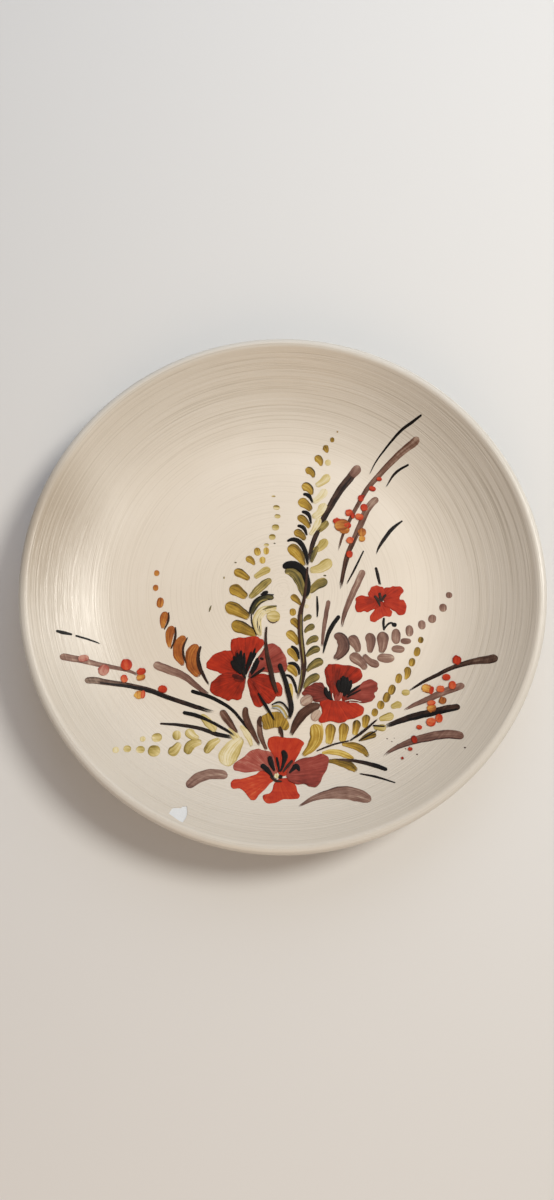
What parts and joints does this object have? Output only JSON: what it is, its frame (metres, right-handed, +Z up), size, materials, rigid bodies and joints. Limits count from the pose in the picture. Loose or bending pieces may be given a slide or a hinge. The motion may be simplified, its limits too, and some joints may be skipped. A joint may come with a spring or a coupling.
{
  "type": "hand painted ceramic plate",
  "caption": "Shallow round ceramic plate with a rounded lip and foot ring, coated in cream and hand painted with red poppies and grasses.",
  "frame": {"origin": "middle of the foot ring, on the surface that the plate stands on", "axes": "+Z up out of the painted face, +Y to the top of the painting, +X to its right"},
  "size_m": [0.2998, 0.2998, 0.0379],
  "materials": {
    "ceramic_body": "bare fired ceramic, fine and slightly chalky, pale bluish white",
    "cream_coat": "satin cream coat brushed round the plate, with fine rings",
    "red_paint": "satin brushed poppy red",
    "mauve_red_paint": "satin brushed mauve red",
    "black_paint": "satin brown-black, streaky",
    "brown_paint": "satin dark brown, streaky",
    "mauve_paint": "satin mauve-brown, thin and streaky",
    "olive_paint": "satin olive, streaky",
    "ochre_paint": "satin ochre yellow, streaky",
    "orange_paint": "satin orange-brown",
    "pale_paint": "thin pale yellow wash"
  },
  "bodies": {
    "root": {"plate_body": "ceramic_body", "ground_coat": "cream_coat", "blade_black_short": "black_paint", "blade_black_thick": "black_paint", "blade_dark_long": "black_paint", "blade_mauve_lower": "mauve_paint", "blade_mauve_upper": "mauve_paint", "fern_spine": "brown_paint", "grass_black_lower": "black_paint", "grass_black_upper": "black_paint", "grass_dark_long": "black_paint", "grass_faded": "mauve_paint", "grass_grey": "black_paint", "grass_mauve": "mauve_paint", "leaf_brown_lower": "brown_paint", "leaf_brown_upper": "brown_paint", "leaf_fern_great": "olive_paint", "leaf_fern_upper": "ochre_paint", "leaf_mauve_crescent": "mauve_paint", "leaf_ochre_arch": "ochre_paint", "leaf_ochre_hanging": "ochre_paint", "leaf_ochre_lower": "ochre_paint", "leaf_ochre_upper": "ochre_paint", "leaf_orange_brown": "orange_paint", "leaf_pale_round": "pale_paint", "leaf_red_brown": "brown_paint", "leaf_side_high": "ochre_paint", "leaf_side_low": "ochre_paint", "leaf_side_middle": "ochre_paint", "low_mauve_long": "mauve_paint", "low_mauve_short": "mauve_paint", "poppy_left_petal_left": "red_paint", "poppy_left_petal_lower_left": "red_paint", "poppy_left_petal_lower_right": "red_paint", "poppy_left_petal_right": "mauve_red_paint", "poppy_left_petal_top": "red_paint", "poppy_left_stem": "brown_paint", "poppy_low_petal_left": "mauve_red_paint", "poppy_low_petal_lower_left": "red_paint", "poppy_low_petal_lower_right": "red_paint", "poppy_low_petal_right": "mauve_red_paint", "poppy_low_petal_top": "red_paint", "poppy_right_petal_bottom": "red_paint", "poppy_right_petal_left": "mauve_red_paint", "poppy_right_petal_right": "mauve_red_paint", "poppy_right_petal_top": "red_paint", "poppy_small_petals": "red_paint", "reed_black_curved": "black_paint", "reed_black_thin": "black_paint", "reed_black_tip": "black_paint", "reed_brown_long": "brown_paint", "reed_brown_middle": "brown_paint", "reed_dark_low": "black_paint", "reed_dark_thick": "black_paint", "reed_mauve": "mauve_paint", "reed_mauve_thin": "mauve_paint", "stem_curved": "black_paint"}
  },
  "joints": []
}
